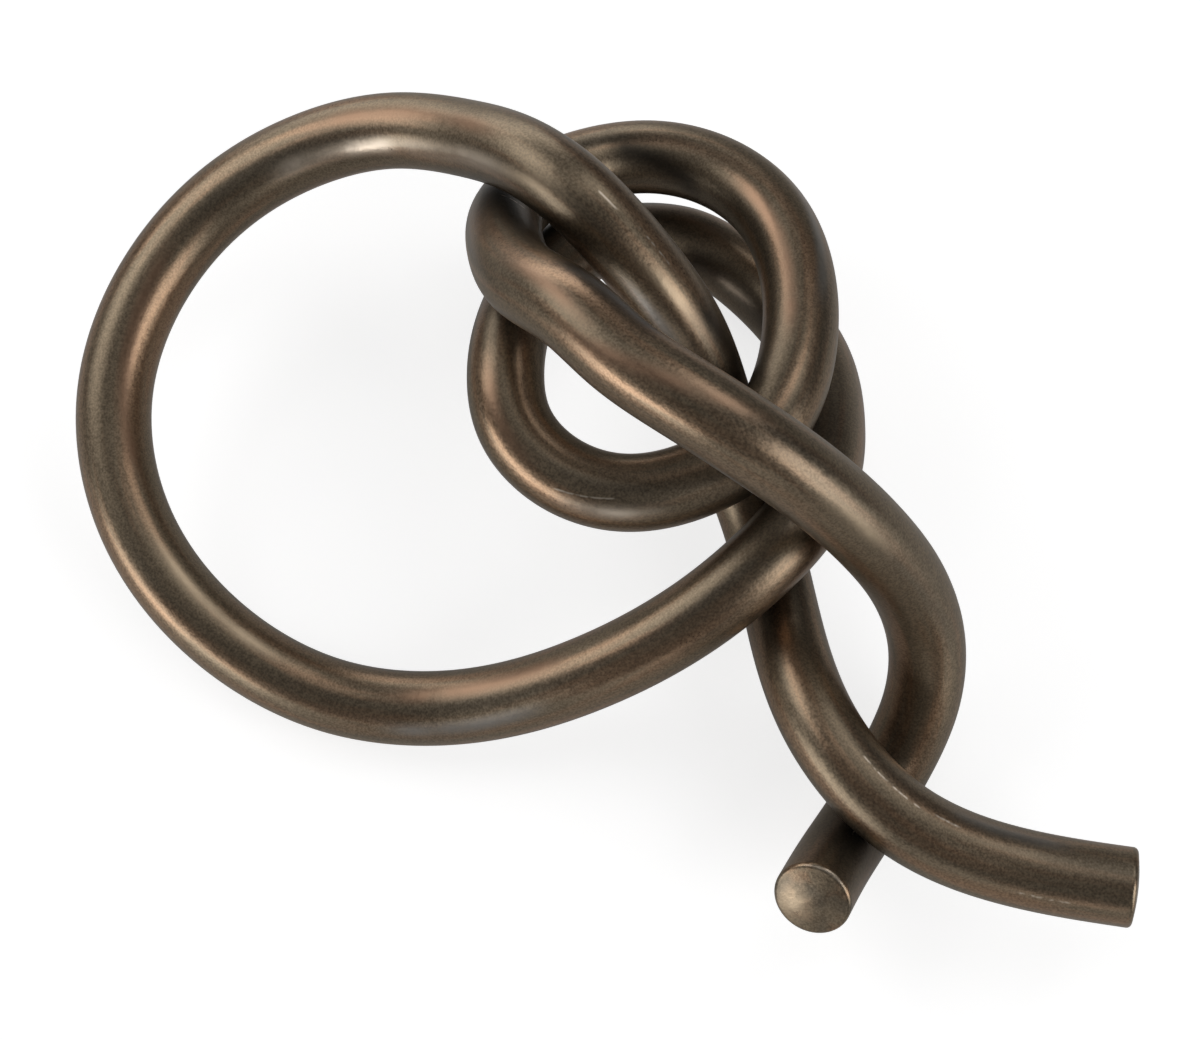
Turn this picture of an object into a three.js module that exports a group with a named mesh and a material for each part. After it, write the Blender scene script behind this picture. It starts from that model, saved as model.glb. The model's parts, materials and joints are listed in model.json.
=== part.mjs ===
// Knot sculpture: one long round tube, looped and laced through itself, lying on a table.
// Seven bent tube sections are butted over sleeves hidden in their bores, and a turned
// plug closes each end. Units are millimetres and +Z is up.

import * as THREE from 'three';

// The tube and the air left between two strands where they cross
const ROD_DIAMETER = 25.4;
const STRAND_CLEARANCE = 1.0;
const TUBE_WALL = 2.0;

// The butt joints and the sleeves that carry them
const BUTT_GAP = 0.3;
const FIT_CLEARANCE = 0.3;
const SLEEVE_LENGTH = 30;
const SLEEVE_WALL = 2.0;

// The end plugs: a cap with a rounded rim, and a spigot that sits in the bore
const PLUG_RIM_RADIUS = 2.5;
const PLUG_LAND = 0.5;
const PLUG_SPIGOT_LENGTH = 8;
const PLUG_SPIGOT_CHAMFER = 1.0;

// How finely round things are cut into flats
const SIDES = 16;
const RING_SPACING = 10;
const RIM_STEPS = 4;
const ROUTE_SAMPLES = 4000;

// One pitch is the distance between the centrelines of two strands that cross
const PITCH = ROD_DIAMETER + STRAND_CLEARANCE;

// The route of the centreline, section by section, in pitches: x, y and the height above
// its lowest place. Each section starts at its first station and ends where the next starts.
// A thicker tube makes a larger knot, because a knot's loops are only as tight as its tube.
const SECTIONS = [
  {
    name: 'leg_a_tube',
    stations: [
      [6.44, -4.59, 1.17], [4.95, -4.29, 1.00], [3.60, -3.70, 1.13], [2.72, -2.58, 1.07],
      [2.27, -0.75, 0.62], [2.05, 0.22, 0.63], [1.74, 0.99, 0.92],
    ],
  },
  {
    name: 'great_loop_tube',
    stations: [
      [1.44, 1.55, 1.60], [0.98, 2.11, 2.79], [0.39, 2.71, 3.37], [-0.21, 3.27, 3.68],
      [-0.84, 3.87, 3.53], [-1.69, 4.51, 2.94], [-2.70, 4.88, 2.46], [-3.90, 4.77, 2.07],
      [-4.98, 4.25, 1.70], [-5.77, 3.39, 1.42], [-6.33, 1.80, 1.03], [-5.95, 0.03, 0.66],
      [-4.89, -1.24, 0.35], [-3.40, -1.99, 0.03], [-1.93, -2.15, 0.12], [-0.20, -1.89, 0.82],
      [1.36, -1.18, 1.53], [2.02, -0.66, 1.74], [2.47, -0.16, 1.74],
    ],
  },
  {
    name: 'back_arc_tube',
    stations: [
      [2.79, 0.49, 1.51], [2.96, 1.43, 1.02], [2.91, 2.46, 0.48], [2.54, 3.36, 0.08],
      [1.94, 4.03, 0.02], [1.24, 4.36, 0.26],
    ],
  },
  {
    name: 'lower_ring_tube',
    stations: [
      [0.32, 4.25, 0.62], [-0.16, 3.98, 0.98], [-0.66, 3.46, 1.36], [-1.08, 2.40, 2.04],
      [-1.17, 1.65, 2.29], [-1.08, 1.01, 2.24], [-0.69, 0.48, 2.15], [0.20, 0.10, 2.11],
      [1.29, 0.31, 2.13],
    ],
  },
  {
    name: 'upper_ring_tube',
    stations: [
      [1.89, 0.69, 2.21], [2.30, 1.33, 2.22], [2.52, 2.21, 2.07], [2.52, 3.20, 1.87],
      [2.18, 4.20, 1.64], [1.49, 4.84, 1.49], [0.67, 5.06, 1.44], [-0.12, 4.93, 1.48],
    ],
  },
  {
    name: 'front_sweep_tube',
    stations: [
      [-0.66, 4.60, 1.68], [-1.18, 3.69, 2.37], [-1.15, 2.93, 3.02], [-0.87, 2.15, 3.76],
      [-0.33, 1.55, 4.28], [0.21, 0.95, 4.46], [0.99, 0.36, 4.50], [1.79, -0.10, 4.27],
      [2.57, -0.44, 3.64], [3.30, -0.77, 2.73], [3.81, -1.10, 1.83], [4.09, -1.62, 1.03],
      [4.05, -2.22, 0.47],
    ],
  },
  {
    name: 'leg_b_tube',
    stations: [
      [3.65, -3.04, 0.02], [3.34, -3.53, 0.07], [2.93, -4.11, 0.44], [2.52, -4.74, 1.13],
    ],
  },
];

const SLEEVE_NAMES = [
  'sleeve_leg_a_to_great_loop',
  'sleeve_great_loop_to_back_arc',
  'sleeve_back_arc_to_lower_ring',
  'sleeve_lower_ring_to_upper_ring',
  'sleeve_upper_ring_to_front_sweep',
  'sleeve_front_sweep_to_leg_b',
];

// Radii that follow from the sizes above
const ROD_RADIUS = ROD_DIAMETER / 2;
const BORE_RADIUS = ROD_RADIUS - TUBE_WALL;
const SLEEVE_RADIUS = BORE_RADIUS - FIT_CLEARANCE;
const SLEEVE_BORE_RADIUS = SLEEVE_RADIUS - SLEEVE_WALL;
const SPIGOT_RADIUS = BORE_RADIUS - FIT_CLEARANCE;
const CAP_THICKNESS = PLUG_RIM_RADIUS + PLUG_LAND;

// Materials

const patina = new THREE.MeshStandardMaterial({ color: 0x6f6355, roughness: 0.42, metalness: 0.85 });
const bareTube = new THREE.MeshStandardMaterial({ color: 0x8c8070, roughness: 0.6, metalness: 0.8 });

// The centreline: a natural cubic spline, which bends without kinks, through every station.
// Its parameter is the straight distance from station to station.
class Centreline extends THREE.Curve {
  constructor(stations) {
    super();
    this.stations = stations;
    this.arcLengthDivisions = ROUTE_SAMPLES;
    this.knots = [0];
    for (let i = 1; i < stations.length; i += 1) {
      this.knots.push(this.knots[i - 1] + stations[i].distanceTo(stations[i - 1]));
    }
    this.bends = this.solveBends();
  }

  // The second derivative at each station, by one sweep down the equations and one back.
  // It is zero at both ends of the rod.
  solveBends() {
    const count = this.stations.length;
    const ratios = new Array(count).fill(0);
    const bends = this.stations.map(() => new THREE.Vector3());
    for (let i = 1; i < count - 1; i += 1) {
      const before = this.knots[i] - this.knots[i - 1];
      const after = this.knots[i + 1] - this.knots[i];
      const pivot = 2 * (before + after) - before * ratios[i - 1];
      const slopeAfter = this.stations[i + 1].clone().sub(this.stations[i]).divideScalar(after);
      const slopeBefore = this.stations[i].clone().sub(this.stations[i - 1]).divideScalar(before);
      ratios[i] = after / pivot;
      bends[i].copy(slopeAfter).sub(slopeBefore).multiplyScalar(6);
      bends[i].addScaledVector(bends[i - 1], -before).divideScalar(pivot);
    }
    for (let i = count - 2; i > 0; i -= 1) {
      bends[i].addScaledVector(bends[i + 1], -ratios[i]);
    }
    return bends;
  }

  getPoint(t, target = new THREE.Vector3()) {
    const place = t * this.knots[this.knots.length - 1];
    let span = 1;
    while (span < this.knots.length - 1 && this.knots[span] < place) {
      span += 1;
    }
    const width = this.knots[span] - this.knots[span - 1];
    const left = (this.knots[span] - place) / width;
    const right = 1 - left;
    const bend = (width * width) / 6;
    target.set(0, 0, 0);
    target.addScaledVector(this.stations[span - 1], left);
    target.addScaledVector(this.stations[span], right);
    target.addScaledVector(this.bends[span - 1], (left ** 3 - left) * bend);
    target.addScaledVector(this.bends[span], (right ** 3 - right) * bend);
    return target;
  }

  // How far along the rod, in millimetres, a station lies
  distanceToStation(index) {
    const lengths = this.getLengths();
    const place = (this.knots[index] / this.knots[this.knots.length - 1]) * ROUTE_SAMPLES;
    const sample = Math.min(Math.floor(place), ROUTE_SAMPLES - 1);
    return THREE.MathUtils.lerp(lengths[sample], lengths[sample + 1], place - sample);
  }
}

const stations = SECTIONS.flatMap((section) => section.stations)
  .map(([x, y, height]) => new THREE.Vector3(x, y, height).multiplyScalar(PITCH));
const rod = new Centreline(stations);
const rodLength = rod.getLength();

// Distances along the rod: where the sections butt, and where the tube starts and ends
const butts = [];
let firstStation = 0;
for (const section of SECTIONS.slice(0, -1)) {
  firstStation += section.stations.length;
  butts.push(rod.distanceToStation(firstStation));
}
const tubeStart = CAP_THICKNESS + BUTT_GAP;
const tubeEnd = rodLength - CAP_THICKNESS - BUTT_GAP;

// The rings that every tube and sleeve is built on. Pieces that overlap along the rod share
// the same rings, so the gap between a sleeve and its bore is the same all along.
function ringDistances() {
  const keys = [tubeStart, tubeEnd];
  for (const butt of butts) {
    keys.push(butt - SLEEVE_LENGTH / 2, butt - BUTT_GAP / 2);
    keys.push(butt + BUTT_GAP / 2, butt + SLEEVE_LENGTH / 2);
  }
  keys.sort((a, b) => a - b);
  const distances = [keys[0]];
  for (let i = 1; i < keys.length; i += 1) {
    const parts = Math.max(1, Math.round((keys[i] - keys[i - 1]) / RING_SPACING));
    for (let part = 1; part <= parts; part += 1) {
      distances.push(THREE.MathUtils.lerp(keys[i - 1], keys[i], part / parts));
    }
  }
  return distances;
}

// Position and directions of each ring. The normal is carried along the whole rod with as
// little turning as the bends allow, so the flats run on across every butt joint.
function carryRings(distances) {
  const normal = new THREE.Vector3(0, 0, 1);
  const binormal = new THREE.Vector3();
  return distances.map((distance) => {
    const position = rod.getPointAt(distance / rodLength);
    const tangent = rod.getTangentAt(distance / rodLength);
    normal.addScaledVector(tangent, -normal.dot(tangent)).normalize();
    binormal.crossVectors(tangent, normal);
    return { distance, position, tangent, normal: normal.clone(), binormal: binormal.clone() };
  });
}

const rings = carryRings(ringDistances());

// A length of the rod as a path to extrude along: the rings between two distances
class RodStretch extends THREE.Curve {
  constructor(from, to) {
    super();
    const slack = BUTT_GAP / 4;
    this.rings = rings.filter((ring) => ring.distance > from - slack && ring.distance < to + slack);
  }

  getPointAt(u, target = new THREE.Vector3()) {
    return target.copy(this.rings[Math.round(u * (this.rings.length - 1))].position);
  }

  computeFrenetFrames() {
    return {
      tangents: this.rings.map((ring) => ring.tangent),
      normals: this.rings.map((ring) => ring.normal),
      binormals: this.rings.map((ring) => ring.binormal),
    };
  }
}

// A round section is cut as a polygon whose flats lie at the true radius
function cornerRadius(radius) {
  return radius / Math.cos(Math.PI / SIDES);
}

function roundOutline(radius) {
  const points = [];
  for (let side = 0; side < SIDES; side += 1) {
    const angle = ((side + 0.5) / SIDES) * 2 * Math.PI;
    const reach = cornerRadius(radius);
    points.push(new THREE.Vector2(reach * Math.cos(angle), reach * Math.sin(angle)));
  }
  return points;
}

// A hollow round tube that follows the rod from one distance to another
function tubeAlongRod(from, to, radius, boreRadius) {
  const wall = new THREE.Shape(roundOutline(radius));
  wall.holes.push(new THREE.Path(roundOutline(boreRadius)));
  const stretch = new RodStretch(from, to);
  return new THREE.ExtrudeGeometry(wall, {
    extrudePath: stretch,
    steps: stretch.rings.length - 1,
    curveSegments: 1,
  });
}

function tubeSection(index) {
  const from = index === 0 ? tubeStart : butts[index - 1] + BUTT_GAP / 2;
  const to = index === SECTIONS.length - 1 ? tubeEnd : butts[index] - BUTT_GAP / 2;
  const mesh = new THREE.Mesh(tubeAlongRod(from, to, ROD_RADIUS, BORE_RADIUS), patina);
  mesh.name = SECTIONS[index].name;
  return mesh;
}

function jointSleeve(index) {
  const from = butts[index] - SLEEVE_LENGTH / 2;
  const to = butts[index] + SLEEVE_LENGTH / 2;
  const mesh = new THREE.Mesh(tubeAlongRod(from, to, SLEEVE_RADIUS, SLEEVE_BORE_RADIUS), bareTube);
  mesh.name = SLEEVE_NAMES[index];
  return mesh;
}

// The turned end plug, drawn from the middle of its flat face, round the rim and down to
// the end of the spigot. Its own +Y points out of the rod and y = 0 is the back of the cap.
function plugGeometry() {
  const profile = [new THREE.Vector2(0, CAP_THICKNESS)];
  for (let step = 0; step <= RIM_STEPS; step += 1) {
    const angle = (step / RIM_STEPS) * (Math.PI / 2);
    const radius = ROD_RADIUS - PLUG_RIM_RADIUS + PLUG_RIM_RADIUS * Math.sin(angle);
    const height = CAP_THICKNESS - PLUG_RIM_RADIUS + PLUG_RIM_RADIUS * Math.cos(angle);
    profile.push(new THREE.Vector2(cornerRadius(radius), height));
  }
  profile.push(new THREE.Vector2(cornerRadius(ROD_RADIUS), 0));
  profile.push(new THREE.Vector2(cornerRadius(SPIGOT_RADIUS), 0));
  profile.push(new THREE.Vector2(cornerRadius(SPIGOT_RADIUS), PLUG_SPIGOT_CHAMFER - PLUG_SPIGOT_LENGTH));
  profile.push(new THREE.Vector2(cornerRadius(SPIGOT_RADIUS - PLUG_SPIGOT_CHAMFER), -PLUG_SPIGOT_LENGTH));
  profile.push(new THREE.Vector2(0, -PLUG_SPIGOT_LENGTH));
  return new THREE.LatheGeometry(profile.reverse(), SIDES, Math.PI / SIDES);
}

// A plug sits square on the end ring of the tube, one butt gap away, its flats in line
function endPlug(name, ring, outward) {
  const axis = ring.tangent.clone().multiplyScalar(outward);
  const across = new THREE.Vector3().crossVectors(axis, ring.normal);
  const mesh = new THREE.Mesh(plugGeometry(), patina);
  mesh.name = name;
  mesh.quaternion.setFromRotationMatrix(new THREE.Matrix4().makeBasis(across, axis, ring.normal));
  mesh.position.copy(ring.position).addScaledVector(axis, BUTT_GAP);
  return mesh;
}

// Assembly

const knot = new THREE.Group();
for (let index = 0; index < SECTIONS.length; index += 1) {
  knot.add(tubeSection(index));
}
for (let index = 0; index < SLEEVE_NAMES.length; index += 1) {
  knot.add(jointSleeve(index));
}
knot.add(endPlug('end_plug_a', rings[0], -1));
knot.add(endPlug('end_plug_b', rings[rings.length - 1], 1));

// The origin is under the middle of the knot, on the table that it lies on
const box = new THREE.Box3().setFromObject(knot, true);
knot.position.set(-(box.min.x + box.max.x) / 2, -(box.min.y + box.max.y) / 2, -box.min.z);

const sculpture = new THREE.Group();
sculpture.add(knot);

export default sculpture;
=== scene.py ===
# Knot sculpture: how one long bronze tube, looped and laced through itself, looks on a table.
# Lengths are in metres and +Z is up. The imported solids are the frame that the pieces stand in.

import json
import math

import bmesh
import bpy
import numpy as np
from bpy.props import FloatProperty, FloatVectorProperty, IntProperty, PointerProperty
from mathutils import Matrix, Vector


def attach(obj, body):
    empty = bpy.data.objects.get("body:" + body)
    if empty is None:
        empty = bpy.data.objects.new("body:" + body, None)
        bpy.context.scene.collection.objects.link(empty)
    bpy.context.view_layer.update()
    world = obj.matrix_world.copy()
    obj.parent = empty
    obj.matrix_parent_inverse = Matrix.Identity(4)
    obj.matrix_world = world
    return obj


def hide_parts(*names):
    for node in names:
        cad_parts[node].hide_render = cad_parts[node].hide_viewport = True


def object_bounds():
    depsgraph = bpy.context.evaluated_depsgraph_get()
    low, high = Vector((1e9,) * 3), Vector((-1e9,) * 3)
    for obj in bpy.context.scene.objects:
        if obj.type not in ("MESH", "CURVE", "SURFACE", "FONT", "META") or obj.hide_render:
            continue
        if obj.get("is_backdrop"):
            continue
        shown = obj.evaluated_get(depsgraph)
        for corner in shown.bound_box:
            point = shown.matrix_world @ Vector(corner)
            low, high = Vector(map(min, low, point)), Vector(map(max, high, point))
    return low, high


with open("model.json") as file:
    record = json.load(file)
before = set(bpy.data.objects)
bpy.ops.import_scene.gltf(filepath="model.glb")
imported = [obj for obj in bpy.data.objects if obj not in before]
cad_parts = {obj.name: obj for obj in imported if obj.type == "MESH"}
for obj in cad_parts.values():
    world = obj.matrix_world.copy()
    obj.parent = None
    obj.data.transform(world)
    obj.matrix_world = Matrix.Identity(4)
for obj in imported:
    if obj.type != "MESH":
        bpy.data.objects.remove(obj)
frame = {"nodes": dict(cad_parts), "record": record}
SOLID_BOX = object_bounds()

bl_info = {
    "name": "Knot Sculpture",
    "version": (1, 0, 0),
    "blender": (4, 5, 0),
    "location": "View3D > Sidebar > Knot",
    "description": "Builds the visible pieces of a knot of bronze tube, and a plain stage for it",
    "category": "Object",
}

# The route of the rod's centreline, section by section: x, y and the height above its lowest
# place, in pitches. One pitch is the tube's diameter and the air between two strands that cross.
SECTIONS = {
    "leg_a_tube": [
        (6.44, -4.59, 1.17), (4.95, -4.29, 1.00), (3.60, -3.70, 1.13), (2.72, -2.58, 1.07),
        (2.27, -0.75, 0.62), (2.05, 0.22, 0.63), (1.74, 0.99, 0.92),
    ],
    "great_loop_tube": [
        (1.44, 1.55, 1.60), (0.98, 2.11, 2.79), (0.39, 2.71, 3.37), (-0.21, 3.27, 3.68),
        (-0.84, 3.87, 3.53), (-1.69, 4.51, 2.94), (-2.70, 4.88, 2.46), (-3.90, 4.77, 2.07),
        (-4.98, 4.25, 1.70), (-5.77, 3.39, 1.42), (-6.33, 1.80, 1.03), (-5.95, 0.03, 0.66),
        (-4.89, -1.24, 0.35), (-3.40, -1.99, 0.03), (-1.93, -2.15, 0.12), (-0.20, -1.89, 0.82),
        (1.36, -1.18, 1.53), (2.02, -0.66, 1.74), (2.47, -0.16, 1.74),
    ],
    "back_arc_tube": [
        (2.79, 0.49, 1.51), (2.96, 1.43, 1.02), (2.91, 2.46, 0.48), (2.54, 3.36, 0.08),
        (1.94, 4.03, 0.02), (1.24, 4.36, 0.26),
    ],
    "lower_ring_tube": [
        (0.32, 4.25, 0.62), (-0.16, 3.98, 0.98), (-0.66, 3.46, 1.36), (-1.08, 2.40, 2.04),
        (-1.17, 1.65, 2.29), (-1.08, 1.01, 2.24), (-0.69, 0.48, 2.15), (0.20, 0.10, 2.11),
        (1.29, 0.31, 2.13),
    ],
    "upper_ring_tube": [
        (1.89, 0.69, 2.21), (2.30, 1.33, 2.22), (2.52, 2.21, 2.07), (2.52, 3.20, 1.87),
        (2.18, 4.20, 1.64), (1.49, 4.84, 1.49), (0.67, 5.06, 1.44), (-0.12, 4.93, 1.48),
    ],
    "front_sweep_tube": [
        (-0.66, 4.60, 1.68), (-1.18, 3.69, 2.37), (-1.15, 2.93, 3.02), (-0.87, 2.15, 3.76),
        (-0.33, 1.55, 4.28), (0.21, 0.95, 4.46), (0.99, 0.36, 4.50), (1.79, -0.10, 4.27),
        (2.57, -0.44, 3.64), (3.30, -0.77, 2.73), (3.81, -1.10, 1.83), (4.09, -1.62, 1.03),
        (4.05, -2.22, 0.47),
    ],
    "leg_b_tube": [
        (3.65, -3.04, 0.02), (3.34, -3.53, 0.07), (2.93, -4.11, 0.44), (2.52, -4.74, 1.13),
    ],
}

SLEEVES = (
    "sleeve_leg_a_to_great_loop",
    "sleeve_great_loop_to_back_arc",
    "sleeve_back_arc_to_lower_ring",
    "sleeve_lower_ring_to_upper_ring",
    "sleeve_upper_ring_to_front_sweep",
    "sleeve_front_sweep_to_leg_b",
)

# The two plugs: whether each is at the start of the rod, and how far its rim is made bright where
# it faces up, with rubbed metal and a painted highlight
PLUGS = {"end_plug_a": (True, 0.3), "end_plug_b": (False, 1.0)}

# How finely the route and the rounded parts of a plug are worked out
ROUTE_SAMPLES = 4000
RIM_STEPS = 10
CROWN_STEPS = 8

# Points nearer than this are one point, and an edge that turns by more than this is sharp
MERGE_DISTANCE = 1e-7
SHARP_TURN = math.radians(35)

# How steeply a plug's rim has to face up, as the height of its normal, before it is made bright
# with rubbed metal and a painted highlight
RIM_HIGHLIGHT_STARTS = 0.86

# Where a pale highlight is painted on the face of a plug: the middle of the spot across the rod,
# and its size
FACE_HIGHLIGHT = (-0.0010, -0.0062, 0.0)
FACE_HIGHLIGHT_RADIUS = 0.0090

# Shade is painted on the patina within this distance of another strand, darkest where they touch.
# A point's own strand is the stretch of rod on both sides of it, and the others are looked for at
# so many places.
NESTED_SHADE_REACH = 0.026
OWN_STRAND = 0.06
OTHER_PLACES = 400

# The view of the photograph: the camera looks down at a point this far above the lowest
# centreline, over the origin of the route.
VIEW_ELEVATION = math.radians(72)
VIEW_DISTANCE = 0.65
VIEW_HEIGHT = 0.03465
VIEW_LENS = 58.5
SENSOR_WIDTH = 36.0

# Soft lamps that stand round the knot: azimuth and elevation of the middle, clockwise from
# the back, width and height as seen from the knot, in degrees, and brightness
LAMP_DISTANCE = 1.5
LAMPS = {
    "right_front_lamp": (120, 26, 34, 44, 2.8),
    "left_front_lamp": (-126, 9, 46, 19, 3.9),
    "front_lamp": (180, 8, 26, 14, 0.9),
    "left_back_lamp": (-64, 38, 36, 32, 2.2),
    "back_lamp": (-18, 16, 44, 26, 2.0),
    "right_back_lamp": (45, 54, 26, 24, 1.6),
    "top_lamp": (0, 78, 24, 20, 0.8),
}

# Distances from the knot's middle over which metal stops seeing the floor lifted, a pool of light
# painted on the floor that shows only in reflections, and over which the floor that the camera
# sees is lifted to full white
SHEEN_REACH = (0.16, 0.7)
WHITE_REACH = (1.0, 2.6)

# Thin bright lines on the tube, where the patina is rubbed through and where glints are painted:
# start and end along the rod, angle round it and its change for each metre, in degrees, and half
# the line's width
RUBBED_LINES_AND_GLINTS = {
    "bend of leg A": (0.075, 0.102, 14, 0, 0.0005),
    "top of leg A": (0.061, 0.072, 18, 0, 0.0006),
    "side of leg A": (0.020, 0.039, -47, 0, 0.0006),
    "foot of leg B": (1.8390, 1.8440, 115, 0, 0.0005),
    "tip under the great loop": (1.4960, 1.5080, 30, -4600, 0.0005),
    "top of the great loop": (0.319, 0.330, 28, 0, 0.0006),
    "shoulder of the great loop": (0.298, 0.315, 35.5, 0, 0.0005),
    "foot of the lower ring": (1.193, 1.219, 44, -700, 0.0005),
}

# Wide bands, given in the same way: copper and beige bands of worn patina that also carry painted
# highlights, bright bands of painted highlight, grey bands of painted reflection, and dark bands
# of painted shade
COPPER_BANDS = {
    "top of the great loop": (0.355, 0.455, 8, -60, 0.0045),
    "side of the great loop": (0.500, 0.605, -24, -351, 0.0040),
    "foot of the great loop": (0.715, 0.800, -37, -163, 0.0045),
    "front sweep": (1.570, 1.645, 101, -1071, 0.0045),
    "tip of the front sweep": (1.535, 1.590, 56, 100, 0.0040),
    "upper ring": (1.295, 1.385, -18, -200, 0.0045),
    "side of the lower ring": (1.150, 1.198, 29.0, -66, 0.0040),
    "back arc": (1.020, 1.052, -44, 1198, 0.0035),
}
BEIGE_BANDS = {
    "below the shoulder": (0.323, 0.361, -0.9, -1174, 0.0042),
    "rising strand": (0.277, 0.316, 15.7, -351, 0.0042),
    "inside of the great loop": (0.612, 0.685, -45, 20, 0.0040),
    "foot of the front sweep": (1.650, 1.700, 77, -64, 0.0040),
}
# Painted highlights along the rod, in the colour of rubbed metal
HIGHLIGHT_BANDS = {
    "inside of the great loop's top": (0.396, 0.468, -47.9, 80, 0.0050),
    "shoulder of the great loop": (0.345, 0.418, -38.2, -132, 0.0048),
    "foot of the lower ring": (1.197, 1.237, 53.4, -238, 0.0040),
}
# Painted reflections: grey bands of light on the patina
REFLECTION_BANDS = {
    "foot of the great loop": (0.715, 0.785, 17, -68, 0.0040),
    "upper ring": (1.310, 1.380, 22, 465, 0.0040),
    "rising strand": (0.270, 0.312, -24, -240, 0.0035),
    "leg A": (0.015, 0.075, 39.5, 0, 0.0040),
}
# Dark bands of painted shade, where neighbouring strands shade the rod
SHADE_BANDS = {
    "underside of the back arc": (0.975, 1.045, -100, 130, 0.0110),
    "end of the rising strand": (0.250, 0.292, 62, -716, 0.0090),
    "tip of the front sweep": (1.555, 1.605, 8, -330, 0.0080),
    "inside of the upper ring": (1.385, 1.435, -89, 1515, 0.0090),
}

# The length over which each kind of line or band fades out at its ends
LINE_FADE = 0.003
BAND_FADE = 0.02
SHADE_FADE = 0.012

# How much of the painted shade shows in a dark band, and how much of the metal in the patina
SHADE_SHARE = 0.9
PATINA_METALLIC = 0.88

# Height of the metal's fine relief
RELIEF = 0.00003


class KnotSizes(bpy.types.PropertyGroup):
    """Sizes of the rod and its ends, and how finely they are meshed."""

    rod_diameter: FloatProperty(
        name="Rod diameter", description="Outside diameter of the tube",
        default=0.0254, min=0.005, max=0.1, unit="LENGTH", precision=5)
    strand_clearance: FloatProperty(
        name="Strand clearance", description="Air between two strands where they cross",
        default=0.001, min=0.0, max=0.02, unit="LENGTH", precision=5)
    tube_wall: FloatProperty(
        name="Tube wall", description="Thickness of the tube's wall",
        default=0.002, min=0.0005, max=0.01, unit="LENGTH", precision=5)
    end_gap: FloatProperty(
        name="End gap", description="Gap between a solid tube's end and its plug",
        default=0.0003, min=0.0, max=0.002, unit="LENGTH", precision=5)
    fit_clearance: FloatProperty(
        name="Fit clearance", description="Air round a plug's spigot in the bore",
        default=0.0003, min=0.0, max=0.002, unit="LENGTH", precision=5)
    rim_radius: FloatProperty(
        name="Rim radius", description="Rounding of the rim of an end plug",
        default=0.0016, min=0.0002, max=0.01, unit="LENGTH", precision=5)
    rim_land: FloatProperty(
        name="Rim land", description="Height of a plug's cap over its seat, less the rim radius",
        default=0.0014, min=0.0, max=0.01, unit="LENGTH", precision=5)
    face_crown: FloatProperty(
        name="Face crown", description="How far the middle of an end face stands proud",
        default=0.0010, min=0.0, max=0.004, unit="LENGTH", precision=5)
    spigot_length: FloatProperty(
        name="Spigot length", description="Length of a plug's spigot in the bore",
        default=0.008, min=0.001, max=0.05, unit="LENGTH", precision=5)
    spigot_chamfer: FloatProperty(
        name="Spigot chamfer", description="Chamfer on the inner end of the spigot",
        default=0.001, min=0.0, max=0.005, unit="LENGTH", precision=5)
    ring_spacing: FloatProperty(
        name="Ring spacing", description="Distance between two rings of the mesh",
        default=0.0015, min=0.0005, max=0.02, unit="LENGTH", precision=5)
    bore_spacing: FloatProperty(
        name="Bore ring spacing", description="Distance between two rings inside the bore",
        default=0.006, min=0.001, max=0.05, unit="LENGTH", precision=5)
    sides: IntProperty(
        name="Sides", description="How many flats go round the rod",
        default=72, min=12, max=192)


class KnotFinish(bpy.types.PropertyGroup):
    """Colours of the worn patina and of the bare metal under it, which also serve for painted
    highlights, reflections, glints and shade.
    """

    bronze: FloatVectorProperty(
        name="Bronze", description="Brown patina over most of the rod",
        default=(0.224, 0.174, 0.118), min=0.0, max=1.0, size=3, subtype="COLOR")
    copper: FloatVectorProperty(
        name="Copper", description="Warm streaks where the patina is thin",
        default=(0.308, 0.200, 0.125), min=0.0, max=1.0, size=3, subtype="COLOR")
    umber: FloatVectorProperty(
        name="Umber", description="Dark clouds where the patina is thick",
        default=(0.149, 0.122, 0.089), min=0.0, max=1.0, size=3, subtype="COLOR")
    # The colour of the shade painted between strands and in the dark bands
    painted_shade: FloatVectorProperty(
        name="Crevice", description="Dark patina that nothing rubs, between two strands",
        default=(0.040, 0.034, 0.027), min=0.0, max=1.0, size=3, subtype="COLOR")
    # Worn copper in bands that also carry painted highlights
    warm_band: FloatVectorProperty(
        name="Warm band", description="Wide bands worn down to warm copper",
        default=(0.310, 0.190, 0.121), min=0.0, max=1.0, size=3, subtype="COLOR")
    # Worn pale bronze in bands that also carry painted highlights, and the painted highlight on a
    # plug's face
    pale_band: FloatVectorProperty(
        name="Pale band", description="Wide bands worn down to pale bronze",
        default=(0.430, 0.335, 0.230), min=0.0, max=1.0, size=3, subtype="COLOR")
    # The colour of the painted grey reflections in the grey bands
    cool_band: FloatVectorProperty(
        name="Cool band", description="Wide bands of grey polish over the patina",
        default=(0.290, 0.270, 0.245), min=0.0, max=1.0, size=3, subtype="COLOR")
    # Also the colour of the painted highlights in the bright bands and of painted glints
    rubbed: FloatVectorProperty(
        name="Rubbed metal", description="Bright metal where strands and rims have rubbed",
        default=(0.620, 0.530, 0.430), min=0.0, max=1.0, size=3, subtype="COLOR")
    sleeve: FloatVectorProperty(
        name="Sleeve metal", description="Bare drawn tube inside the joints",
        default=(0.480, 0.380, 0.240), min=0.0, max=1.0, size=3, subtype="COLOR")


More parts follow.
